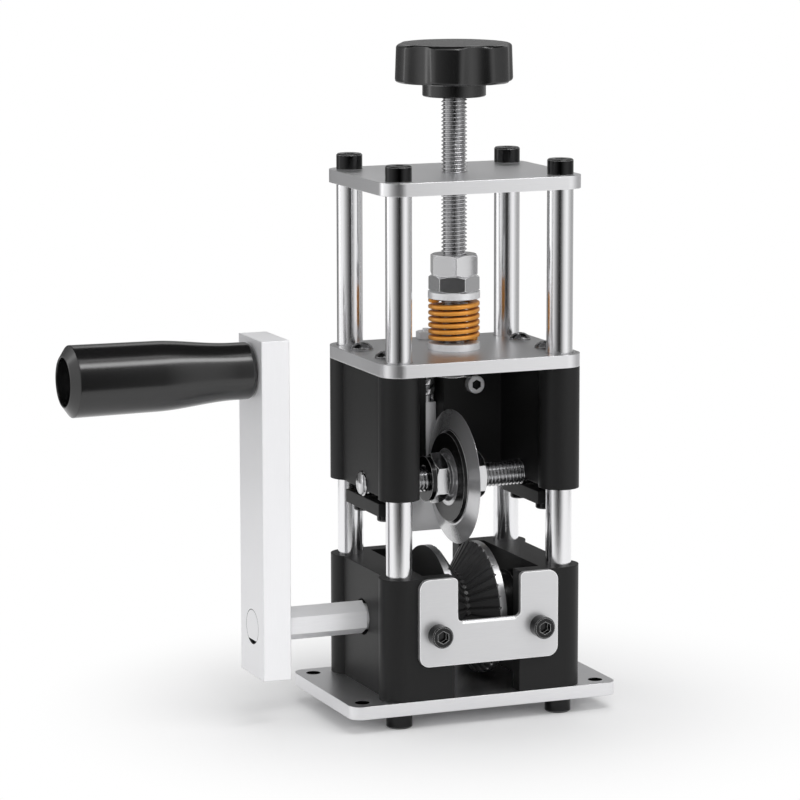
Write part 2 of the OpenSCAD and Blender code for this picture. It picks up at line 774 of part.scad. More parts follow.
// Lobed knob with a domed top and a collar
module knob() {
    r = knob_d / 2;
    hollow_r = r * 0.42;
    edge = 1.5;
    color("#161616") difference() {
        union() {
            intersection() {
                translate([0, 0, knob_body_low]) linear_extrude(knob_h) difference() {
                    circle(r, $fn = 128);
                    for (i = [0 : knob_lobes - 1]) rotate((i + 0.5) * 360 / knob_lobes)
                        translate([r + hollow_r - knob_hollow, 0]) circle(hollow_r);
                }
                rotate_extrude($fn = 128) polygon(concat(
                    [[0, knob_body_low], [r - edge, knob_body_low], [r, knob_body_low + edge],
                     [r - 0.5, knob_top - knob_dome]],
                    [for (a = [15 : 15 : 75])
                        [(r - 0.5) * (0.85 + 0.15 * cos(a)), knob_top - knob_dome + knob_dome * sin(a)]],
                    [[0, knob_top]]));
            }
            translate([0, 0, knob_low]) cylinder(h = collar_h + edge, d = collar_d);
        }
        translate([0, 0, knob_low - CUT])
            cylinder(h = spindle_top - knob_low + CUT, d = spindle_d + 2 * seat_fit);
    }
}

module spindle_nut(z, h) {
    color("silver") translate([0, 0, z]) hex_nut(nut_af, h, spindle_d / 2 + seat_fit);
}
module lower_lock_nut() { rotate([0, 0, lower_nut_turn]) spindle_nut(top_washer_top, lower_nut_h); }
module upper_lock_nut() { rotate([0, 0, upper_nut_turn]) spindle_nut(lower_nut_top, nut_h); }
module keeper_nut() { spindle_nut(spindle_low, keeper_nut_h); }

module spring_washer(z) {
    color("silver") translate([0, 0, z]) washer(washer_d / 2, spindle_d / 2 + run_gap, washer_t);
}
module spring_seat_washer() { spring_washer(carriage_plate_top); }
module spring_top_washer() { spring_washer(die_spring_top); }

die_spring_rings = coil_rings(
    (die_spring_d - die_wire_w) / 2, seat_washer_top + die_wire_t / 2 + EPS,
    die_spring_top - die_wire_t / 2 - EPS, die_turns, flat_wire(die_wire_w, die_wire_t), die_wire_t);
echo(die_spring_least_gap = coil_gap(die_spring_rings));
module die_spring() { color("goldenrod") coil(die_spring_rings); }

// Plan of the carriage: two cheeks and a back wall with a slot for the presser
module carriage_outline() {
    difference() {
        union() {
            boss_outline();
            for (side = [-1, 1]) translate([side * cheek_x, 0])
                square([cheek_t, 2 * half_y], center = true);
            translate([-half_x, wall_front]) square([column_gap_x, block_y - wall_front]);
        }
        at_columns() circle(bush_r + seat_fit);
        translate([-slot_half_w, wall_front - CUT]) square([2 * slot_half_w, slot_back - wall_front + CUT]);
    }
}

module carriage_block() {
    screw_hole_d = small_screw_d + 2 * seat_fit;
    pocket_w = presser_w + 2 * run_gap;
    pocket_h = presser_low + presser_h + presser_stroke + 1 - carriage_low;
    color("#1c1c1e") difference() {
        translate([0, 0, carriage_low]) linear_extrude(carriage_h) carriage_outline();
        translate([0, presser_y, presser_top - 1])
            cylinder(h = presser_spring_l + 1 + CUT, r = slot_half_w);
        translate([-pocket_w / 2, presser_front - run_gap, carriage_low - CUT])
            cube([pocket_w, presser_t + 2 * run_gap, pocket_h + CUT]);
        translate([0, 0, axle_z]) rod_x(-block_x - CUT, block_x + CUT, axle_d / 2 + seat_fit);
        translate([-block_x - CUT, -axle_d / 2 - seat_fit, carriage_low - CUT])
            cube([2 * block_x + 2 * CUT, axle_d + 2 * seat_fit, axle_above + CUT]);
        at_cheek_screws() {
            translate([0, 0, carriage_low - CUT]) cylinder(h = small_screw_in + CUT + 1, d = screw_hole_d);
            translate([0, 0, carriage_top - small_screw_in - 1])
                cylinder(h = small_screw_in + CUT + 1, d = screw_hole_d);
        }
        for (x = [-1, 1]) translate([x * cover_screw_gap / 2, 0, cover_screw_z])
            rotate([-90, 0, 0]) cylinder(h = block_y + CUT, d = small_screw_d + 2 * screw_clear);
    }
}

module carriage_plate() {
    color("silver") translate([0, 0, carriage_top]) difference() {
        linear_extrude(carriage_plate_t) round_rect(2 * block_x, 2 * block_y, boss_r);
        at_columns() translate([0, 0, -CUT])
            cylinder(h = carriage_plate_t + 2 * CUT, d = column_d + 2 * run_gap);
        translate([0, 0, -CUT])
            cylinder(h = carriage_plate_t + 2 * CUT, d = spindle_d + 2 * run_gap);
        at_cheek_screws() translate([0, 0, -CUT])
            cylinder(h = carriage_plate_t + 2 * CUT, d = small_screw_d + 2 * screw_clear);
        translate([0, presser_y, -CUT]) cylinder(h = carriage_plate_t + 2 * CUT, d = stem_d + 2 * run_fit);
    }
}

module carriage_screws() {
    color("dimgray") translate([0, 0, carriage_plate_top]) at_cheek_screws()
        button_screw(small_screw_d, button_head_d, button_head_h, carriage_plate_t + small_screw_in);
}

module column_bushes() {
    color("tan") translate([0, 0, carriage_low]) at_columns()
        washer(bush_r, column_d / 2 + run_fit, carriage_h);
}

module blade_axle() {
    color("silver") translate([0, 0, axle_z]) rod_x(-axle_half_l, axle_half_l, axle_d / 2);
}

// Strap under a cheek that holds the axle in its slot
module axle_strap(side) {
    color("dimgray") translate([side * cheek_x, 0, strap_top - strap_t]) difference() {
        translate([-cheek_t / 2, -strap_l / 2, 0]) cube([cheek_t, strap_l, strap_t]);
        for (y = [-1, 1]) translate([0, y * cheek_screw_y, -CUT])
            cylinder(h = strap_t + 2 * CUT, d = small_screw_d + 2 * screw_clear);
    }
}
module left_axle_strap() { axle_strap(-1); }
module right_axle_strap() { axle_strap(1); }

module strap_screws() {
    reach = strap_t + carriage_low - strap_top + small_screw_in;
    color("dimgray") translate([0, 0, strap_top - strap_t]) at_cheek_screws() mirror([0, 0, 1])
        socket_screw(small_screw_d, small_head_d, small_head_h, reach);
}

module blade_nut(x) {
    color("white") translate([x, 0, axle_z]) rotate([0, 90, 0]) rotate([0, 0, 90])
        hex_nut(nut_af, blade_nut_h, axle_d / 2 + seat_fit);
}
module left_blade_nut() { blade_nut(-blade_nut_x - blade_nut_h); }
module right_blade_nut() { blade_nut(blade_nut_x); }

module axle_washer() {
    color("#2c2c2e") translate([0, 0, axle_z])
        ring_x(-blade_nut_x - blade_nut_h - axle_washer_t / 2, axle_washer_t,
               axle_washer_d / 2, axle_d / 2 + seat_fit);
}

module blade_spacers() {
    color("silver") translate([0, 0, axle_z]) for (side = [-1, 1])
        ring_x(side * (blade_bearing_half + blade_spacer_l / 2), blade_spacer_l,
               axle_d / 2 + bearing_ring - 0.2, axle_d / 2 + seat_fit);
}

module blade_bearing_inner() {
    color("lightgray") translate([0, 0, axle_z])
        ring_x(0, bearing_w, axle_d / 2 + bearing_ring, axle_d / 2 + seat_fit);
}

// Round blade, bevelled on both sides to its edge
module blade() {
    edge_t = 0.1;
    bore_r = hub_barrel_r + seat_fit;
    color("lightsteelblue") translate([0, 0, axle_z]) rotate([0, 90, 0]) rotate_extrude($fn = 96)
        polygon([[bore_r, -blade_t / 2], [blade_flat_r, -blade_t / 2], [blade_r, -edge_t / 2],
                 [blade_r, edge_t / 2], [blade_flat_r, blade_t / 2], [bore_r, blade_t / 2]]);
}

// Hub: a barrel through the blade and a flange on its left
module blade_hub() {
    bore_r = bearing_od / 2 + seat_fit;
    color("#242426") translate([0, 0, axle_z]) rotate([0, 90, 0]) rotate_extrude()
        polygon([[bore_r, -bearing_w / 2], [hub_flange_r - 1, -bearing_w / 2], [hub_flange_r, -blade_t / 2],
                 [hub_barrel_r, -blade_t / 2], [hub_barrel_r, bearing_w / 2], [bore_r, bearing_w / 2]]);
}

module blade_clamp_ring() {
    color("#242426") translate([0, 0, axle_z]) rotate([0, 90, 0]) rotate_extrude()
        polygon([[hub_barrel_r + seat_fit, blade_t / 2], [hub_flange_r, blade_t / 2],
                 [hub_flange_r - 1, bearing_w / 2], [hub_barrel_r + seat_fit, bearing_w / 2]]);
}

module blade_bearing_outer() {
    color("lightgray") translate([0, 0, axle_z])
        ring_x(0, bearing_w, bearing_od / 2, bearing_od / 2 - bearing_ring);
}

module blade_bearing_balls() {
    color("silver") translate([0, 0, axle_z]) bearing_ball_set(0, axle_d);
}

// Cover on the back of the carriage, held by two screws through the back wall
module rear_cover() {
    cover_w = cover_screw_gap + small_head_d + 2;
    color("#2c2c2e") difference() {
        translate([-cover_w / 2, block_y, cover_low]) cube([cover_w, cover_t, cover_h]);
        for (x = [-1, 1]) translate([x * cover_screw_gap / 2, block_y - CUT, cover_screw_z])
            rotate([-90, 0, 0]) cylinder(h = cover_t + 2 * CUT, d = small_screw_d + 2 * seat_fit);
    }
}

module rear_cover_screws() {
    reach = block_y + cover_t - wall_front;
    color("whitesmoke") for (x = [-1, 1])
        translate([x * cover_screw_gap / 2, wall_front, cover_screw_z]) rotate([90, 0, 0])
            socket_screw(small_screw_d, small_head_d, small_head_h + 1, reach);
}

// Presser: a plate with a toe, a narrow shank in the slot and a stem through the spring
module presser_bar() {
    plate_top = presser_low + presser_h;
    stem_top = carriage_plate_top + stem_nut_h + 1;
    color("lightgray") {
        translate([-presser_w / 2, presser_front, presser_low]) {
            cube([presser_w, presser_t, presser_h]);
            cube([presser_w, presser_t + toe_out, toe_h]);
        }
        translate([-shank_w / 2, presser_front, presser_low])
            cube([shank_w, presser_t, presser_top - presser_low]);
        translate([0, presser_y, plate_top]) cylinder(h = stem_top - plate_top, d = stem_d);
    }
}

module presser_nut() {
    color("dimgray") translate([0, presser_y, carriage_plate_top])
        hex_nut(stem_nut_af, stem_nut_h, stem_d / 2 + seat_fit);
}

presser_spring_rings = coil_rings(
    (presser_spring_d - presser_wire) / 2, presser_top + presser_wire / 2 + EPS,
    carriage_top - presser_wire / 2 - EPS, presser_turns, round_wire(presser_wire), presser_wire);
echo(presser_spring_least_gap = coil_gap(presser_spring_rings));
module presser_spring() { color("silver") translate([0, presser_y, 0]) coil(presser_spring_rings); }

base_plate();
foot_screws();
base_block();
column_front_left();
column_front_right();
column_rear_left();
column_rear_right();
top_plate();
top_screws();
guide_plate();
guide_screws();
left_bearing_outer();
left_bearing_balls();
right_bearing_outer();
right_bearing_balls();
drive_shaft();
left_bearing_inner();
right_bearing_inner();
roller_left();
roller_right();
roller_key();
left_roller_spacer();
right_roller_spacer();
crank_arm();
arm_grub_screw();
grip_bolt();
grip();
spring_top_washer();
die_spring();
spindle();
knob();
upper_lock_nut();
lower_lock_nut();
keeper_nut();
carriage_block();
carriage_plate();
carriage_screws();
column_bushes();
spring_seat_washer();
blade_axle();
left_axle_strap();
right_axle_strap();
strap_screws();
left_blade_nut();
right_blade_nut();
axle_washer();
blade_spacers();
blade_bearing_inner();
blade();
blade_hub();
blade_clamp_ring();
blade_bearing_outer();
blade_bearing_balls();
rear_cover();
rear_cover_screws();
presser_bar();
presser_nut();
presser_spring();
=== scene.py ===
import json
import math

import bpy
import numpy as np
from mathutils import Matrix, Vector


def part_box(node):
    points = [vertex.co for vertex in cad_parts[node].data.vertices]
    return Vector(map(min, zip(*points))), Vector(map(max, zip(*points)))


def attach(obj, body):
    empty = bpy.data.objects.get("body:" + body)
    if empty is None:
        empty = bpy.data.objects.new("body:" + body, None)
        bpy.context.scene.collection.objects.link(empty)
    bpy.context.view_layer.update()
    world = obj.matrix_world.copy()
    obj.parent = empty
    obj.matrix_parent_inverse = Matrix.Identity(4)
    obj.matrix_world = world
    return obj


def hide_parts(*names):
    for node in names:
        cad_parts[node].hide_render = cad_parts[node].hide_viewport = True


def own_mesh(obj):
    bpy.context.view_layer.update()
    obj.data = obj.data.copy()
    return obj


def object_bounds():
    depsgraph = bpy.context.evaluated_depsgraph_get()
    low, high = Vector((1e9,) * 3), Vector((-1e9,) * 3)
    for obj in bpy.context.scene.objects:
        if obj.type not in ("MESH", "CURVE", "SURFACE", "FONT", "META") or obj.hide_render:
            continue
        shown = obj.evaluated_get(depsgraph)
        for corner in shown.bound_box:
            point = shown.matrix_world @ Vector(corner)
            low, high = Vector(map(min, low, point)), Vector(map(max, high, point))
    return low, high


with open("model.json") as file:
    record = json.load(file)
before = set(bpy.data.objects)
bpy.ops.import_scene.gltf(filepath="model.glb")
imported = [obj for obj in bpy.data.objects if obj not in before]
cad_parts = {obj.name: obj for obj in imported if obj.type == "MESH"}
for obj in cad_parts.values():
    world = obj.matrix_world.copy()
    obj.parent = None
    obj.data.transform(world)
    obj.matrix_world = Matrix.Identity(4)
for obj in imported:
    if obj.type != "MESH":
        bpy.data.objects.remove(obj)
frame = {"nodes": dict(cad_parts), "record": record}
cad_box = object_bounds()
nodes = frame["nodes"]
MM = 0.001


# Camera, fitted to the column feet and plate corners of the photograph

YAW, PITCH, ROLL = math.radians(22.136), math.radians(9.421), math.radians(-0.09)
LOOK_AT, DISTANCE, LENS = (-22.35 * MM, 0.0, 115.3 * MM), 1427.3 * MM, 168.1


def set_camera(look_at, yaw, pitch, roll, distance, lens):
    """Camera that looks at a point from a yaw to the left of the front, a pitch above it, and a distance."""
    back = Vector((-math.sin(yaw) * math.cos(pitch), -math.cos(yaw) * math.cos(pitch), math.sin(pitch)))
    right = Vector((math.cos(yaw), -math.sin(yaw), 0.0))
    up = back.cross(right)
    turn = Matrix((right, up, back)).transposed() @ Matrix.Rotation(roll, 3, "Z")
    data = bpy.data.cameras.new("camera")
    data.lens = lens
    data.sensor_width = 36.0
    camera = bpy.data.objects.new("camera", data)
    camera.matrix_world = Matrix.Translation(Vector(look_at) + distance * back) @ turn.to_4x4()
    bpy.context.scene.collection.objects.link(camera)
    bpy.context.scene.camera = camera


set_camera(LOOK_AT, YAW, PITCH, ROLL, DISTANCE, LENS)


# Materials

def link(tree, *pairs):
    """Joins pairs of sockets, each from an output to an input."""
    for a, b in pairs:
        tree.links.new(a, b)


def add_node(tree, kind, operation=None, **values):
    """Shader node of a kind, with an operation and input values set by socket name or number."""
    node = tree.nodes.new("ShaderNode" + kind)
    if operation:
        node.operation = operation
    for key, value in values.items():
        node.inputs[int(key[1:]) if key[1:].isdigit() else key].default_value = value
    return node


def add_group(tree, group, **values):
    """Node that places a group in a tree, with input values set by name."""
    node = add_node(tree, "Group")
    node.node_tree = group
    for label, value in values.items():
        node.inputs[label].default_value = value
    return node


def add_mix(tree, color):
    """Node that mixes from its input A towards a colour."""
    node = add_node(tree, "Mix")
    node.data_type = "RGBA"
    node.inputs["B"].default_value = (*color, 1)
    return node


def new_group(name, inputs, outputs):
    """Empty node group with the named sockets, and its two end nodes."""
    tree = bpy.data.node_groups.new(name, "ShaderNodeTree")
    for kind, label, value in inputs:
        socket = tree.interface.new_socket(label, in_out="INPUT", socket_type="NodeSocket" + kind)
        socket.default_value = value
    for kind, label in outputs:
        tree.interface.new_socket(label, in_out="OUTPUT", socket_type="NodeSocket" + kind)
    return tree, tree.nodes.new("NodeGroupInput"), tree.nodes.new("NodeGroupOutput")


def grain_group():
    """Grain of a worked surface: noise stretched by Scale darkens the colour, shifts the roughness and lifts
    the height, and a slow noise adds handling marks. Turned lays the grain in rings round an axis along X
    through Centre."""
    tree, start, end = new_group(
        "worked_grain",
        [("Color", "Color", (0.5, 0.5, 0.5, 1)), ("Float", "Roughness", 0.3),
         ("Vector", "Scale", (400, 400, 400)), ("Float", "Tint", 0.1), ("Float", "Rough Spread", 0.08),
         ("Vector", "Centre", (0, 0, 0)), ("Float", "Turned", 0.0)],
        [("Color", "Color"), ("Float", "Roughness"), ("Float", "Height")])
    coords = add_node(tree, "TexCoord")
    local = add_node(tree, "VectorMath", "SUBTRACT")
    across = add_node(tree, "VectorMath", "MULTIPLY", _1=(0, 1, 1))
    radius = add_node(tree, "VectorMath", "LENGTH")
    parts = add_node(tree, "SeparateXYZ")
    rings = add_node(tree, "CombineXYZ")
    choice = add_node(tree, "Mix")
    choice.data_type = "VECTOR"
    stretch = add_node(tree, "VectorMath", "MULTIPLY")
    fine = add_node(tree, "TexNoise", Scale=1.0, Detail=4.0)
    slow = add_node(tree, "TexNoise", Scale=45.0, Detail=3.0)
    both = add_node(tree, "Math", "MULTIPLY_ADD", _1=0.4)
    centred = add_node(tree, "Math", "SUBTRACT", _1=0.7)
    shade = add_node(tree, "Math", "MULTIPLY_ADD", _2=1.0)
    grey_tint = add_node(tree, "CombineXYZ")
    tint = add_node(tree, "VectorMath", "MULTIPLY")
    rough = add_node(tree, "Math", "MULTIPLY_ADD")
    rough.use_clamp = True
    plain, ringed, mixed = choice.inputs[4], choice.inputs[5], choice.outputs[1]
    link(tree, (coords.outputs["Object"], local.inputs[0]), (start.outputs["Centre"], local.inputs[1]),
         (local.outputs[0], across.inputs[0]), (across.outputs[0], radius.inputs[0]),
         (local.outputs[0], parts.inputs[0]), (parts.outputs["X"], rings.inputs["X"]),
         (radius.outputs["Value"], rings.inputs["Y"]), (local.outputs[0], plain), (rings.outputs[0], ringed),
         (start.outputs["Turned"], choice.inputs[0]), (mixed, stretch.inputs[0]),
         (start.outputs["Scale"], stretch.inputs[1]), (stretch.outputs[0], fine.inputs["Vector"]),
         (coords.outputs["Object"], slow.inputs["Vector"]), (slow.outputs["Fac"], both.inputs[0]),
         (fine.outputs["Fac"], both.inputs[2]), (both.outputs[0], centred.inputs[0]),
         (centred.outputs[0], shade.inputs[0]), (start.outputs["Tint"], shade.inputs[1]),
         (shade.outputs[0], grey_tint.inputs[0]), (shade.outputs[0], grey_tint.inputs[1]),
         (shade.outputs[0], grey_tint.inputs[2]), (start.outputs["Color"], tint.inputs[0]),
         (grey_tint.outputs[0], tint.inputs[1]), (centred.outputs[0], rough.inputs[0]),
         (start.outputs["Rough Spread"], rough.inputs[1]), (start.outputs["Roughness"], rough.inputs[2]),
         (tint.outputs[0], end.inputs["Color"]), (rough.outputs[0], end.inputs["Roughness"]),
         (fine.outputs["Fac"], end.inputs["Height"]))
    return tree


def edge_highlight_group():
    """Painted highlight on edges: where Bent Normal, which is rounded over the edges, leaves the face's own
    normal, the colour goes to the paler highlight grey and the metal's sheen to none."""
    tree, start, end = new_group(
        "painted_edge_highlight",
        [("Color", "Color", (0.5, 0.5, 0.5, 1)), ("Color", "Worn", (1, 1, 1, 1)), ("Float", "Metallic", 1.0),
         ("Vector", "Bent Normal", (0, 0, 1))],
        [("Color", "Color"), ("Float", "Metallic")])
    face = add_node(tree, "NewGeometry")
    bend = add_node(tree, "VectorMath", "DOT_PRODUCT")
    lit_edge = add_node(tree, "MapRange", **{"From Min": 0.99, "From Max": 0.9})
    pale = add_mix(tree, (1, 1, 1))
    kept = add_node(tree, "Math", "SUBTRACT", _0=1.0)
    sheen = add_node(tree, "Math", "MULTIPLY")
    link(tree, (start.outputs["Bent Normal"], bend.inputs[0]), (face.outputs["Normal"], bend.inputs[1]),
         (bend.outputs["Value"], lit_edge.inputs["Value"]), (lit_edge.outputs["Result"], pale.inputs["Factor"]),
         (start.outputs["Color"], pale.inputs["A"]), (start.outputs["Worn"], pale.inputs["B"]),
         (lit_edge.outputs["Result"], kept.inputs[1]), (kept.outputs[0], sheen.inputs[0]),
         (start.outputs["Metallic"], sheen.inputs[1]), (pale.outputs["Result"], end.inputs["Color"]),
         (sheen.outputs[0], end.inputs["Metallic"]))
    return tree


def painted_shade_group():
    """Painted shade in a recess or over a face: darker by Share within Radius of an axis through Centre, and
    only past
    Start along it. Along is the axis, Across the two directions square to it, and Mirror repeats the place on
    both sides of the middle planes."""
    soft_side, soft_start = 0.06 * MM, 0.1 * MM
    tree, start, end = new_group(
        "painted_shade_place",
        [("Color", "Color", (0.5, 0.5, 0.5, 1)), ("Vector", "Centre", (0, 0, 0)),
         ("Vector", "Along", (0, 0, 1)), ("Vector", "Across", (1, 1, 0)), ("Vector", "Mirror", (0, 0, 0)),
         ("Float", "Radius", 0.002), ("Float", "Start", 0.0), ("Float", "Share", 1.0)],
        [("Color", "Color")])
    coords = add_node(tree, "TexCoord")
    twin = add_node(tree, "VectorMath", "ABSOLUTE")
    place = add_node(tree, "Mix")
    place.data_type = "VECTOR"
    place.factor_mode = "NON_UNIFORM"
    local = add_node(tree, "VectorMath", "SUBTRACT")
    across = add_node(tree, "VectorMath", "MULTIPLY")
    reach = add_node(tree, "VectorMath", "LENGTH")
    outside = add_node(tree, "Math", "ADD", _1=soft_side)
    inside = add_node(tree, "MapRange")
    depth = add_node(tree, "VectorMath", "DOT_PRODUCT")
    deep = add_node(tree, "Math", "ADD", _1=soft_start)
    past = add_node(tree, "MapRange")
    both = add_node(tree, "Math", "MULTIPLY")
    paint = add_mix(tree, (0.012, 0.012, 0.012))
    link(tree, (coords.outputs["Object"], twin.inputs[0]), (start.outputs["Mirror"], place.inputs[1]),
         (coords.outputs["Object"], place.inputs[4]), (twin.outputs[0], place.inputs[5]),
         (place.outputs[1], local.inputs[0]), (start.outputs["Centre"], local.inputs[1]),
         (local.outputs[0], across.inputs[0]), (start.outputs["Across"], across.inputs[1]),
         (across.outputs[0], reach.inputs[0]), (reach.outputs["Value"], inside.inputs["Value"]),
         (start.outputs["Radius"], outside.inputs[0]), (outside.outputs[0], inside.inputs["From Min"]),
         (start.outputs["Radius"], inside.inputs["From Max"]),
         (start.outputs["Share"], inside.inputs["To Max"]),
         (local.outputs[0], depth.inputs[0]), (start.outputs["Along"], depth.inputs[1]),
         (depth.outputs["Value"], past.inputs["Value"]), (start.outputs["Start"], past.inputs["From Min"]),
         (start.outputs["Start"], deep.inputs[0]), (deep.outputs[0], past.inputs["From Max"]),
         (inside.outputs["Result"], both.inputs[0]), (past.outputs["Result"], both.inputs[1]),
         (both.outputs[0], paint.inputs["Factor"]), (start.outputs["Color"], paint.inputs["A"]),
         (paint.outputs["Result"], end.inputs["Color"]))
    return tree


GRAIN, EDGE_HIGHLIGHT, PAINTED_SHADE = grain_group(), edge_highlight_group(), painted_shade_group()


def surface(name, color, metallic, roughness, scale, tint, spread, depth, edge, specular=0.5, turned_z=None,
            edge_highlight=None):
    """Principled material with worked grain, and edges that catch the light over a radius of edge mm. depth
    is the grain's height in mm, turned_z the height of the axis that rings run round, and the last argument
    the grey of a painted highlight along the edges."""
    material = bpy.data.materials.new(name)
    material.use_nodes = True
    tree = material.node_tree
    shader = tree.nodes["Principled BSDF"]
    shader.inputs["Metallic"].default_value = metallic
    shader.inputs["Specular IOR Level"].default_value = specular
    grain = add_group(tree, GRAIN, **{
        "Color": (*color, 1), "Roughness": roughness, "Tint": tint, "Rough Spread": spread,
        "Scale": scale if isinstance(scale, tuple) else (scale, scale, scale)})
    if turned_z is not None:
        grain.inputs["Centre"].default_value = (0, 0, turned_z * MM)
        grain.inputs["Turned"].default_value = 1.0
    bump = add_node(tree, "Bump", Strength=0.6, Distance=depth * MM)
    bevel = add_node(tree, "Bevel", Radius=edge * MM)
    bevel.samples = 6
    skin = grain.outputs["Color"]
    # Painted highlight along the edges: paler and less metallic where the bent normal leaves the face
    if edge_highlight:
        glint = add_group(tree, EDGE_HIGHLIGHT, Worn=(edge_highlight, edge_highlight, edge_highlight, 1), Metallic=metallic)
        link(tree, (skin, glint.inputs["Color"]), (bevel.outputs["Normal"], glint.inputs["Bent Normal"]),
             (glint.outputs["Metallic"], shader.inputs["Metallic"]))
        skin = glint.outputs["Color"]
    link(tree, (skin, shader.inputs["Base Color"]),
         (grain.outputs["Roughness"], shader.inputs["Roughness"]),
         (grain.outputs["Height"], bump.inputs["Height"]),
         (bevel.outputs["Normal"], bump.inputs["Normal"]), (bump.outputs["Normal"], shader.inputs["Normal"]))
    return material


def grey(value):
    """Neutral metal grey, a trace cooler than plain."""
    return (value, value, value * 1.015)


def box_mm(name):
    """Low and high corner of a CAD node in mm."""
    return [np.array(v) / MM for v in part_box(name)]


def middle_z(name):
    """Height of the middle of a CAD node in mm."""
    low, high = box_mm(name)
    return (low[2] + high[2]) / 2


shaft_z, axle_z = middle_z("drive_shaft"), middle_z("blade_axle")
ALONG_X, ALONG_Z, RINGS = (220, 2600, 2600), (2600, 2600, 160), (1500, 5200, 0)
# Each look: colour, metallic, roughness, grain scale, tint, roughness spread, grain depth, edge radius, and
# # where they differ from usual the specular level, the turned axis and the grey of the painted edge
# highlight
LOOKS = {
    "satin_steel": (grey(0.84), 1.0, 0.33, ALONG_X, 0.08, 0.1, 0.004, 0.4),
    "black_anodised": (grey(0.010), 0.0, 0.42, 2200, 0.3, 0.1, 0.02, 0.4, 0.22),
    "chrome_rod": (grey(0.86), 1.0, 0.17, ALONG_Z, 0.06, 0.06, 0.003, 0.3),
    "stainless": (grey(0.66), 0.8, 0.36, ALONG_X, 0.08, 0.1, 0.004, 0.7, 0.5, None, 1.0),
    "black_oxide": (grey(0.03), 1.0, 0.17, 2600, 0.25, 0.08, 0.004, 0.45, 0.5, None, 0.4),
    "zinc": (grey(0.74), 1.0, 0.15, 1800, 0.1, 0.08, 0.005, 0.35, 0.5, None, 0.9),
    "bearing_steel": (grey(0.74), 0.8, 0.24, RINGS, 0.1, 0.08, 0.006, 0.3, 0.5, shaft_z),
    "dark_steel": (grey(0.014), 0.4, 0.23, RINGS, 0.35, 0.08, 0.010, 0.3, 0.5, axle_z, 0.5),
    "crank_aluminium": (grey(0.88), 0.3, 0.38, ALONG_Z, 0.05, 0.1, 0.004, 0.7),
    "black_plastic": (grey(0.006), 0.0, 0.20, 1500, 0.25, 0.08, 0.005, 0.2, 0.7),
    "gold_spring": ((0.74, 0.32, 0.05), 0.35, 0.35, 1700, 0.2, 0.1, 0.010, 0.15),
    "spring_wire": (grey(0.76), 0.9, 0.22, 2400, 0.1, 0.06, 0.006, 0.1),
    "blade_steel": (grey(0.66), 0.7, 0.22, RINGS, 0.16, 0.1, 0.006, 0.1, 0.5, axle_z),
    "shaft_steel": (grey(0.86), 0.35, 0.36, ALONG_X, 0.10, 0.08, 0.002, 0.3),
    "thread_steel": (grey(0.74), 1.0, 0.16, 1800, 0.12, 0.1, 0.008, 0.3),
    "dark_nickel": (grey(0.16), 1.0, 0.16, 2600, 0.15, 0.06, 0.004, 0.4, 0.5, None, 0.7),
    "washer_steel": (grey(0.78), 0.4, 0.35, 900, 0.06, 0.06, 0.002, 0.3),
    "bush_bronze": ((0.5, 0.32, 0.14), 1.0, 0.34, 1600, 0.15, 0.1, 0.01, 0.2),
}
MATERIALS = {name: surface(name, *values) for name, values in LOOKS.items()}


def base_color(material):
    """Tree and shader of a material, and what feeds its colour so far."""
    shader = material.node_tree.nodes["Principled BSDF"]
    return material.node_tree, shader, shader.inputs["Base Color"].links[0].from_socket


def roller_material():
    """Blackened steel, ground bright again on the smooth rim between two distances from the middle plane."""
    rim_start, rim_full, rim_fades, rim_end = 8.7 * MM, 8.9 * MM, 11.40 * MM, 11.46 * MM
    material = surface("roller_steel", grey(0.03), 0.7, 0.36, 2400, 0.35, 0.12, 0.03, 0.2, 0.4)
    tree, shader, old = base_color(material)
    coords = add_node(tree, "TexCoord")
    parts = add_node(tree, "SeparateXYZ")
    away = add_node(tree, "Math", "ABSOLUTE")
    inner = add_node(tree, "MapRange", **{"From Min": rim_start, "From Max": rim_full})
    outer = add_node(tree, "MapRange", **{"From Min": rim_end, "From Max": rim_fades})
    rim = add_node(tree, "Math", "MULTIPLY")
    paint = add_mix(tree, (0.62, 0.62, 0.63))
    link(tree, (coords.outputs["Object"], parts.inputs[0]), (parts.outputs["X"], away.inputs[0]),
         (away.outputs[0], inner.inputs["Value"]), (away.outputs[0], outer.inputs["Value"]),
         (inner.outputs["Result"], rim.inputs[0]), (outer.outputs["Result"], rim.inputs[1]),
         (rim.outputs[0], paint.inputs["Factor"]), (old, paint.inputs["A"]),
         (paint.outputs["Result"], shader.inputs["Base Color"]), (rim.outputs[0], shader.inputs["Metallic"]))
    return material


def paint_groove_shade(material):
    """Painted shade: thread colour falls towards the bottom of the groove, by the depth that the vertices
    carry.
    """
    tree, shader, old = base_color(material)
    depth = add_node(tree, "Attribute")
    depth.attribute_name = "groove"
    share = add_node(tree, "Math", "MULTIPLY", _1=0.5)
    paint = add_mix(tree, (0.05, 0.05, 0.05))
    link(tree, (depth.outputs["Fac"], share.inputs[0]), (share.outputs[0], paint.inputs["Factor"]),
         (old, paint.inputs["A"]), (paint.outputs["Result"], shader.inputs["Base Color"]))


EVERYWHERE = -1000.0


def paint_shade_where(material, centre, radius, along, start=EVERYWHERE, mirror=(0, 0, 0), share=1.0):
    """Painted shade of a radius round an axis through centre, past a start on the axis, in mm."""
    tree, shader, old = base_color(material)
    dark = add_group(tree, PAINTED_SHADE, Centre=tuple(v * MM for v in centre), Along=along,
                     Across=tuple(1 - v for v in along), Mirror=mirror, Radius=radius * MM, Start=start * MM,
                     Share=share)
    link(tree, (old, dark.inputs["Color"]), (dark.outputs["Color"], shader.inputs["Base Color"]))


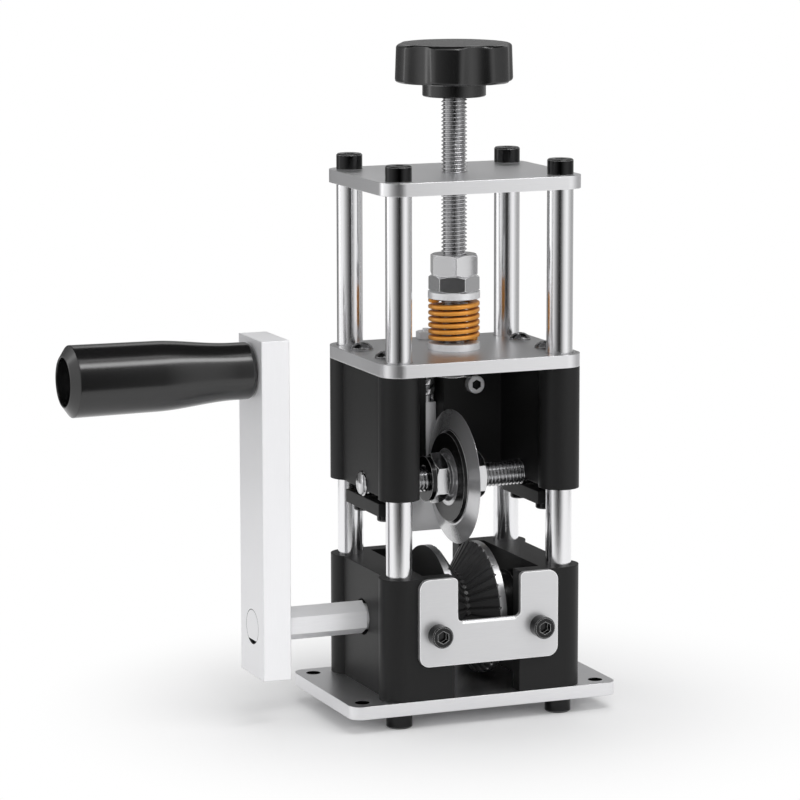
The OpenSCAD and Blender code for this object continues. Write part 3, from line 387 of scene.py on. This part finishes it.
X_AXIS, Y_AXIS, Z_AXIS = (1, 0, 0), (0, 1, 0), (0, 0, 1)
ARM_BORE_R = 6.7
SOCKET_R, SOCKET_INSET, SOCKET_START = 2.1, 3.5, 0.2
BENCH_HOLE_R, BENCH_HOLE_INSET_X, BENCH_HOLE_INSET_Y = 2.8, 6.5, 7.0
# Reach and start of the painted shade over the carriage plate's top face
SHADED_TOP_R, SHADED_TOP_START = 100.0, -0.15

MATERIALS["roller_steel"] = roller_material()
# Copies of a look that carry painted shade: in screw sockets, in bench holes and over the carriage plate's
# top
LIKE = {"shaded_socket_steel": "washer_steel", "hole_shade_steel": "satin_steel", "shaded_top_steel": "satin_steel"}
for finish, look in LIKE.items():
    MATERIALS[finish] = surface(finish, *LOOKS[look])
# Painted shade down in the thread grooves
paint_groove_shade(MATERIALS["thread_steel"])
# Painted shade in the crank arm's bore round the drive shaft
paint_shade_where(MATERIALS["crank_aluminium"], (0, 0, shaft_z), ARM_BORE_R, X_AXIS)
# Painted shade in the hex sockets of the rear cover screws
low, high = box_mm("rear_cover_screws")
paint_shade_where(MATERIALS["shaded_socket_steel"], (high[0] - SOCKET_INSET, low[1], middle_z("rear_cover_screws")),
             SOCKET_R, Y_AXIS, SOCKET_START, mirror=(1, 0, 0))
# Painted shade on the walls of the base plate's four bench holes
low, high = box_mm("base_plate")
paint_shade_where(MATERIALS["hole_shade_steel"], (high[0] - BENCH_HOLE_INSET_X, high[1] - BENCH_HOLE_INSET_Y, 0),
             BENCH_HOLE_R, Z_AXIS, mirror=(1, 1, 0))
# Painted shade over the carriage plate's top face, darker by a share of 0.38
low, high = box_mm("carriage_plate")
paint_shade_where(MATERIALS["shaded_top_steel"], (0, 0, high[2]), SHADED_TOP_R, Z_AXIS, SHADED_TOP_START, share=0.38)

for row in frame["record"]["subparts"]:
    mesh = nodes[row["node"]].data
    mesh.materials.clear()
    mesh.materials.append(MATERIALS[row["material_slot"]])
FINISHES = {"roller_steel": ("roller_left", "roller_right"), "shaft_steel": ("drive_shaft",),
            "washer_steel": ("spring_seat_washer", "spring_top_washer", "presser_bar", "presser_nut"),
            "shaded_socket_steel": ("rear_cover_screws",), "hole_shade_steel": ("base_plate",),
            "dark_nickel": ("carriage_screws",), "shaded_top_steel": ("carriage_plate",)}
for finish, names in FINISHES.items():
    for name in names:
        nodes[name].data.materials[0] = MATERIALS[finish]


# Pieces drawn as surfaces of two parameters

def add_grid(name, grid, material_slot, body, stands_for, ring=False, finish=None):
    """Closed skin through a grid of points, rows along it and columns round it. The rows either join up again
    into a ring, or both ends are capped by a fan."""
    rows, cols = grid.shape[:2]
    index = np.arange(rows * cols).reshape(rows, cols)
    ahead = np.roll(index, -1, axis=1)
    nxt, nxt_ahead = np.roll(index, -1, axis=0), np.roll(ahead, -1, axis=0)
    quads = np.stack([index, ahead, nxt_ahead, nxt], axis=-1)
    points, fans = grid.reshape(-1, 3), np.zeros((0, 3), int)
    if not ring:
        quads = quads[:-1]
        points = np.concatenate([points, [grid[0].mean(axis=0), grid[-1].mean(axis=0)]])
        low, high = np.full(cols, rows * cols), np.full(cols, rows * cols + 1)
        fans = np.concatenate([np.stack([ahead[0], index[0], low], axis=-1),
                               np.stack([index[-1], ahead[-1], high], axis=-1)])
    quads = quads.reshape(-1, 4)
    triangles = np.concatenate([quads[:, [0, 1, 2]], quads[:, [0, 2, 3]], fans])
    p, q, r = (points[triangles[:, k]] for k in range(3))
    if np.einsum("ij,ij->", p, np.cross(q, r)) < 0:
        quads, fans = quads[:, ::-1], fans[:, ::-1]
    mesh = bpy.data.meshes.new(name)
    mesh.from_pydata((points * MM).tolist(), [], quads.tolist() + fans.tolist())
    mesh.polygons.foreach_set("use_smooth", np.ones(len(mesh.polygons), dtype=bool))
    mesh.materials.append(MATERIALS[finish or material_slot])
    piece = bpy.data.objects.new(name, mesh)
    bpy.context.scene.collection.objects.link(piece)
    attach(piece, body)
    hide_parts(stands_for)
    return piece


def lathe(profile, cols, axis, centre, shape=None):
    """Profile of (radius, height) carried round an axis: radius times the angle's cosine and sine in two
    directions and height along the third. shape(radius, angle) may change the radius."""
    profile = np.asarray(profile, float)
    angle = np.linspace(0, 2 * np.pi, cols, endpoint=False)
    radius = profile[:, :1] * np.ones((1, cols))
    if shape is not None:
        radius = shape(radius, angle[None, :])
    along = profile[:, 1:] * np.ones((1, cols))
    u, v = radius * np.cos(angle), radius * np.sin(angle)
    grid = np.stack([along, u, v] if axis == "X" else [u, v, along], axis=-1)
    return grid + np.asarray(centre, float)


def thread(low, high, axis, centre, major_r, pitch, depth, cols=48, steps=12):
    """Screw thread: the radius falls by depth in a rounded V once a turn, shifted round the axis with the
    angle, and both ends are chamfered."""
    along = np.linspace(low, high, int((high - low) / pitch * steps) + 1)
    angle = np.linspace(0, 2 * np.pi, cols, endpoint=False)
    phase = (along[:, None] / pitch - angle[None, :] / (2 * np.pi)) % 1.0
    groove = np.clip(1.25 * (1 - np.abs(2 * phase - 1)), 0.0, 1.0)
    room = np.minimum(along - low, high - along)[:, None]
    radius = np.minimum(major_r - depth * groove, major_r - 1.0 + room)
    rows = np.broadcast_to(along[:, None], radius.shape)
    u, v = radius * np.cos(angle), radius * np.sin(angle)
    grid = np.stack([rows, u, v] if axis == "X" else [u, v, rows], axis=-1)
    return grid + np.asarray(centre, float), groove


def add_thread(name, body, stands_for, *place):
    """Thread piece whose vertices also carry how deep in the groove they lie, where painted shade darkens the
    thread.
    """
    grid, groove = thread(*place, **THREAD)
    piece = add_grid(name, grid, "zinc", body, stands_for, finish="thread_steel")
    depth = piece.data.attributes.new("groove", "FLOAT", "POINT")
    depth.data.foreach_set("value", np.concatenate([groove.ravel(), [0.0, 0.0]]))


def coil(radius, low, high, turns, section, centre, per_turn=48):
    """Spring: a wire section carried along a helix that climbs evenly from low to high."""
    t = np.linspace(0, 1, int(turns * per_turn) + 1)
    angle = 2 * np.pi * turns * t
    z = low + (high - low) * t
    out = radius + section[None, :, 0]
    grid = np.stack([out * np.cos(angle)[:, None], out * np.sin(angle)[:, None],
                     z[:, None] + section[None, :, 1]], axis=-1)
    return grid + np.asarray(centre, float)


def rounded_section(width, height, power, count):
    """Superellipse: width and height of the wire, squarer with a higher power."""
    a = np.linspace(0, 2 * np.pi, count, endpoint=False)
    u, v = np.cos(a), np.sin(a)
    return np.stack([width / 2 * np.sign(u) * np.abs(u) ** (2 / power),
                     height / 2 * np.sign(v) * np.abs(v) ** (2 / power)], axis=-1)


def crisp_profile(points, count):
    """Points of a profile joined by straight lines, with rows close to each corner so that shading stays
    crisp."""
    points = np.asarray(points, float)
    rows = [points[0]]
    for a, b in zip(points[:-1], points[1:]):
        span = max(np.linalg.norm(b - a), 1e-9)
        near = min(0.12, 0.3 * span) / span
        for t in [near, *np.linspace(near, 1 - near, count)[1:-1], 1 - near, 1.0]:
            rows.append(a + (b - a) * t)
    return np.array(rows)


THREAD = {"major_r": 5.0, "pitch": 1.5, "depth": 0.85}
low, high = box_mm("spindle")
add_thread("threaded_spindle", "screw", "spindle", low[2], high[2], "Z", (0, 0, 0))
low, high = box_mm("blade_axle")
add_thread("threaded_axle", "carriage", "blade_axle", low[0], high[0], "X", (0, 0, axle_z))

DIE_WIRE_W, DIE_WIRE_H, DIE_TURNS, CARRIAGE_TRAVEL = 3.8, 1.7, 6.5, 4.0
low, high = box_mm("die_spring")
spring = coil(high[0] - DIE_WIRE_W / 2, low[2] + DIE_WIRE_H / 2, high[2] - DIE_WIRE_H / 2, DIE_TURNS,
              rounded_section(DIE_WIRE_W, DIE_WIRE_H, 4, 20), (0, 0, 0))
spring = add_grid("gold_die_spring", spring, "gold_spring", "feed", "die_spring")
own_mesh(spring)

PRESSER_COIL_R, PRESSER_WIRE_W, PRESSER_WIRE_H, PRESSER_TURNS = 2.75, 1.5, 2.6, 4.5
low, high = box_mm("presser_spring")
coil_y = (low[1] + high[1]) / 2
spring = coil(PRESSER_COIL_R, low[2] + PRESSER_WIRE_H / 2, high[2] - PRESSER_WIRE_H / 2, PRESSER_TURNS,
              rounded_section(PRESSER_WIRE_W, PRESSER_WIRE_H, 3, 16), (0, coil_y, 0))
spring = add_grid("presser_coil", spring, "spring_wire", "carriage", "presser_spring")
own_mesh(spring)


# Grip: thin at the arm, swelling in an S towards the free end, where a chamfer leads to the recess

GRIP_NECK_R, GRIP_SWELL, GRIP_CORNER_R, GRIP_CHAMFER = 10.75, 2.75, 2.0, 3.0
GRIP_HOLE_R, GRIP_RECESS_R, GRIP_RECESS_DEPTH = 4.05, 9.0, 12.0
GRIP_LIP = ((4.3, 2.75), (0.75, 0.12), (0.5, 0.0), (0.2, 0.04), (0.02, 0.4), (0.0, GRIP_RECESS_DEPTH))


def grip_radius(t):
    """Radius at a share t of the length from the arm: a smooth step plus a straight rise."""
    step_start, step_length, step_share = 0.08, 0.44, 0.765
    step = np.clip((t - step_start) / step_length, 0, 1)
    return GRIP_NECK_R + GRIP_SWELL * (step_share * step * step * (3 - 2 * step) + (1 - step_share) * t)


low, high = box_mm("grip")
free, arm = low[0], high[0]
t = np.linspace(0, 1, 48)
waist_length = arm - free - GRIP_CORNER_R - GRIP_CHAMFER
waist = np.stack([grip_radius(t), arm - GRIP_CORNER_R - t * waist_length], axis=-1)
bend = np.radians(np.linspace(90, 12, 8))
corner = np.stack([GRIP_NECK_R - GRIP_CORNER_R + GRIP_CORNER_R * np.cos(bend),
                   arm - GRIP_CORNER_R + GRIP_CORNER_R * np.sin(bend)], axis=-1)
lip = [(GRIP_RECESS_R + out, free + inward) for out, inward in GRIP_LIP]
hole_end = (GRIP_HOLE_R, free + GRIP_RECESS_DEPTH)
profile = crisp_profile([hole_end, (GRIP_HOLE_R, arm), *corner, *waist, *lip, hole_end], 3)
add_grid("moulded_grip", lathe(profile[:-1], 96, "X", (0, 0, middle_z("grip"))), "black_plastic", "handle",
         "grip", ring=True)


# Knob: a lathe profile clipped by six hollows, each an arc of a circle outside the knob

KNOB_R, HOLLOW_R, HOLLOW_DEPTH, HOLLOWS, HOLLOW_SOFTNESS = 23.0, 23.0 * 0.42, 2.4, 6, 2.2
COLLAR_R, COLLAR_H, COLLAR_EDGE = 12.1, 5.3, 0.4
SPINDLE_HOLE_R, SPINDLE_HOLE_ROOF = 5.02, 4.7
KNOB_FOOT = ((1.6, 0.0), (0.7, 0.3), (0.2, 0.8), (0.0, 1.5))
KNOB_CROWN = ((0.45, 1.75), (0.7, 1.2), (1.3, 0.72), (2.1, 0.42), (4.0, 0.18), (8.5, 0.05), (19.0, 0.0),
              (22.5, 0.0))


def knob_shape(radius, angle):
    """The lesser of the profile's radius and the distance to the nearest hollow's arc, joined softly."""
    away, no_wall, hub_r = KNOB_R + HOLLOW_R - HOLLOW_DEPTH, KNOB_R + 5.7, 14.0
    off = (angle % (2 * np.pi / HOLLOWS)) - np.pi / HOLLOWS
    inside = np.maximum(HOLLOW_R ** 2 - (away * np.sin(off)) ** 2, 0.0)
    wall = np.where(inside > 0, away * np.cos(off) - np.sqrt(inside), no_wall)
    gap = radius - wall
    return np.where(radius > hub_r, (radius + wall - np.sqrt(gap * gap + HOLLOW_SOFTNESS)) / 2, radius)


low, high = box_mm("knob")
foot, top = low[2], high[2]
underside = foot + COLLAR_H
profile = crisp_profile(
    [(SPINDLE_HOLE_R, top - SPINDLE_HOLE_ROOF), (SPINDLE_HOLE_R, foot), (COLLAR_R - COLLAR_EDGE, foot),
     (COLLAR_R, foot + COLLAR_EDGE), (COLLAR_R, underside),
     *((KNOB_R - inset, underside + rise) for inset, rise in KNOB_FOOT),
     *((KNOB_R - inset, top - drop) for inset, drop in KNOB_CROWN)], 4)
add_grid("lobed_knob", lathe(profile, 240, "Z", (0, 0, 0), knob_shape), "black_plastic", "screw", "knob")


# Floor, light and background

def area_light(name, position, aim, size, power, size_y=None, mirrored=True):
    """Soft lamp of a size and power that looks at aim. Shiny surfaces show it only where it is mirrored."""
    data = bpy.data.lights.new(name, "AREA")
    data.shape = "RECTANGLE"
    data.size = size
    data.size_y = size_y or size
    data.energy = power
    lamp = bpy.data.objects.new(name, data)
    lamp.location = position
    lamp.visible_glossy = mirrored
    lamp.rotation_euler = (Vector(aim) - Vector(position)).to_track_quat("-Z", "Y").to_euler()
    bpy.context.scene.collection.objects.link(lamp)


def sheet(name, corners, value):
    """Flat four-cornered backdrop of one grey value, which isn't part of the object, and its node tree."""
    mesh = bpy.data.meshes.new(name)
    mesh.from_pydata(corners, [], [(0, 1, 2, 3)])
    piece = bpy.data.objects.new(name, mesh)
    bpy.context.scene.collection.objects.link(piece)
    paint = bpy.data.materials.new(name)
    paint.use_nodes = True
    shader = paint.node_tree.nodes["Principled BSDF"]
    shader.inputs["Roughness"].default_value = 0.9
    shader.inputs["Specular IOR Level"].default_value = 0.1
    shader.inputs["Base Color"].default_value = (value, value, value, 1)
    mesh.materials.append(paint)
    return piece, paint.node_tree


def level_corners(left, right, front, back, z):
    """Corners of a level rectangle at a height, in turn."""
    return [(left, front, z), (right, front, z), (right, back, z), (left, back, z)]


def background_rays(tree):
    """1 where a ray comes from the camera, a mirroring surface or through glass, else 0."""
    path = add_node(tree, "LightPath")
    ends = [path.outputs[label] for label in ("Is Camera Ray", "Is Glossy Ray", "Is Transmission Ray")]
    while len(ends) > 1:
        both = add_node(tree, "Math", "MAXIMUM")
        link(tree, (ends.pop(), both.inputs[0]), (ends.pop(), both.inputs[1]))
        ends.append(both.outputs[0])
    return ends[0]


def only_in_mirrors(piece):
    """Keeps a backdrop out of sight, except in shiny surfaces."""
    piece.visible_camera = piece.visible_diffuse = piece.visible_shadow = piece.visible_transmission = False


def mirror_card(name, distance, turn, left, right, low, high, value, stops):
    """Grey card upright at a distance from the object and a turn from the camera's side, seen only in shiny
    surfaces. stops gives its cover at shares of its width from left to right."""
    toward = np.array([-math.sin(YAW + turn), -math.cos(YAW + turn), 0.0])
    across = np.array([-toward[1], toward[0], 0.0])
    corners = [tuple(distance * toward + x * across + np.array([0, 0, z]))
               for x, z in ((left, low), (right, low), (right, high), (left, high))]
    card, tree = sheet(name, corners, value)
    only_in_mirrors(card)
    coords = add_node(tree, "TexCoord")
    place = add_node(tree, "VectorMath", "DOT_PRODUCT", _1=tuple(across))
    share = add_node(tree, "MapRange", **{"From Min": left, "From Max": right})
    cover = add_node(tree, "ValToRGB")
    ramp = cover.color_ramp.elements
    for where, _ in stops[1:-1]:
        ramp.new(where)
    for stop, (where, amount) in zip(ramp, stops):
        stop.position = where
        stop.color = (amount, amount, amount, 1)
    clear = add_node(tree, "BsdfTransparent")
    blend = add_node(tree, "MixShader")
    link(tree, (coords.outputs["Object"], place.inputs[0]), (place.outputs["Value"], share.inputs["Value"]),
         (share.outputs["Result"], cover.inputs["Fac"]), (cover.outputs["Color"], blend.inputs["Fac"]),
         (clear.outputs[0], blend.inputs[1]), (tree.nodes["Principled BSDF"].outputs[0], blend.inputs[2]),
         (blend.outputs[0], tree.nodes["Material Output"].inputs["Surface"]))


middle = (0.0, 0.0, 0.12)
area_light("key", (-0.45, -1.35, 1.0), middle, 0.9, 3.8)
area_light("front", (-0.52, -1.3, 0.32), middle, 0.7, 5, mirrored=False)
area_light("fill", (1.2, -0.9, 0.5), middle, 0.8, 3, 1.2, mirrored=False)
area_light("edge", (-1.0, 0.62, 0.5), middle, 0.25, 1.0, 1.2)
area_light("top", (0.0, 0.1, 1.4), middle, 1.0, 3)
area_light("strip", (0.22, -0.62, 1.04), middle, 1.0, 4.5, 0.25)
area_light("rim", (0.3, 0.9, 1.4), middle, 0.8, 1.5)

level, side = cad_box[0][2], 30.0
tree = sheet("floor", level_corners(-side, side, -side, side, level), 0.88)[1]
coords = add_node(tree, "TexCoord")
reach = add_node(tree, "VectorMath", "LENGTH")
fade = add_node(tree, "MapRange", **{"From Min": 0.03, "From Max": 0.17})
fade.interpolation_type = "SMOOTHSTEP"
share = add_node(tree, "Math", "MULTIPLY")
white = add_node(tree, "Emission")
blend = add_node(tree, "MixShader")
link(tree, (coords.outputs["Object"], reach.inputs[0]), (reach.outputs["Value"], fade.inputs["Value"]),
     (fade.outputs["Result"], share.inputs[0]), (background_rays(tree), share.inputs[1]),
     (share.outputs[0], blend.inputs["Fac"]), (tree.nodes["Principled BSDF"].outputs[0], blend.inputs[1]),
     (white.outputs[0], blend.inputs[2]), (blend.outputs[0], tree.nodes["Material Output"].inputs["Surface"]))

mirror_card("front_card", 0.30, 0.0, -0.87, 0.44, level, 0.5, 0.01,
            [(0.0, 0.0), (0.3, 0.12), (0.42, 0.36), (0.53, 0.66), (0.61, 0.9), (0.675, 1.0), (0.70, 0.985),
             (0.75, 0.8), (0.80, 0.5), (0.86, 0.2), (1.0, 0.0)])
mirror_card("right_card", 0.50, math.radians(-108), -0.45, 0.45, level, 0.7, 0.03,
            [(0.0, 0.0), (0.25, 0.35), (0.5, 0.6), (0.8, 0.55), (1.0, 0.2)])
mirror_card("left_card", 0.50, math.radians(136), -0.3, 0.3, level, 0.6, 0.03,
            [(0.0, 0.0), (0.3, 0.7), (0.5, 0.85), (0.7, 0.7), (1.0, 0.0)])
mirror_card("back_card", 0.8, math.pi, -0.6, 0.6, 0.0, 0.56, 0.03,
            [(0.0, 0.2), (0.2, 0.6), (0.5, 0.75), (0.8, 0.55), (1.0, 0.2)])
only_in_mirrors(sheet("ceiling", level_corners(-0.8, 0.8, -0.15, 0.8, 0.85), 0.02)[0])

world = bpy.data.worlds.new("studio")
bpy.context.scene.world = world
world.use_nodes = True
tree = world.node_tree
backdrop = tree.nodes["Background"]
shade = add_mix(tree, (1, 1, 1))
shade.inputs["A"].default_value = (0.4, 0.4, 0.405, 1)
link(tree, (background_rays(tree), shade.inputs["Factor"]),
     (shade.outputs["Result"], backdrop.inputs["Color"]))
bpy.context.scene.view_settings.view_transform = "Standard"
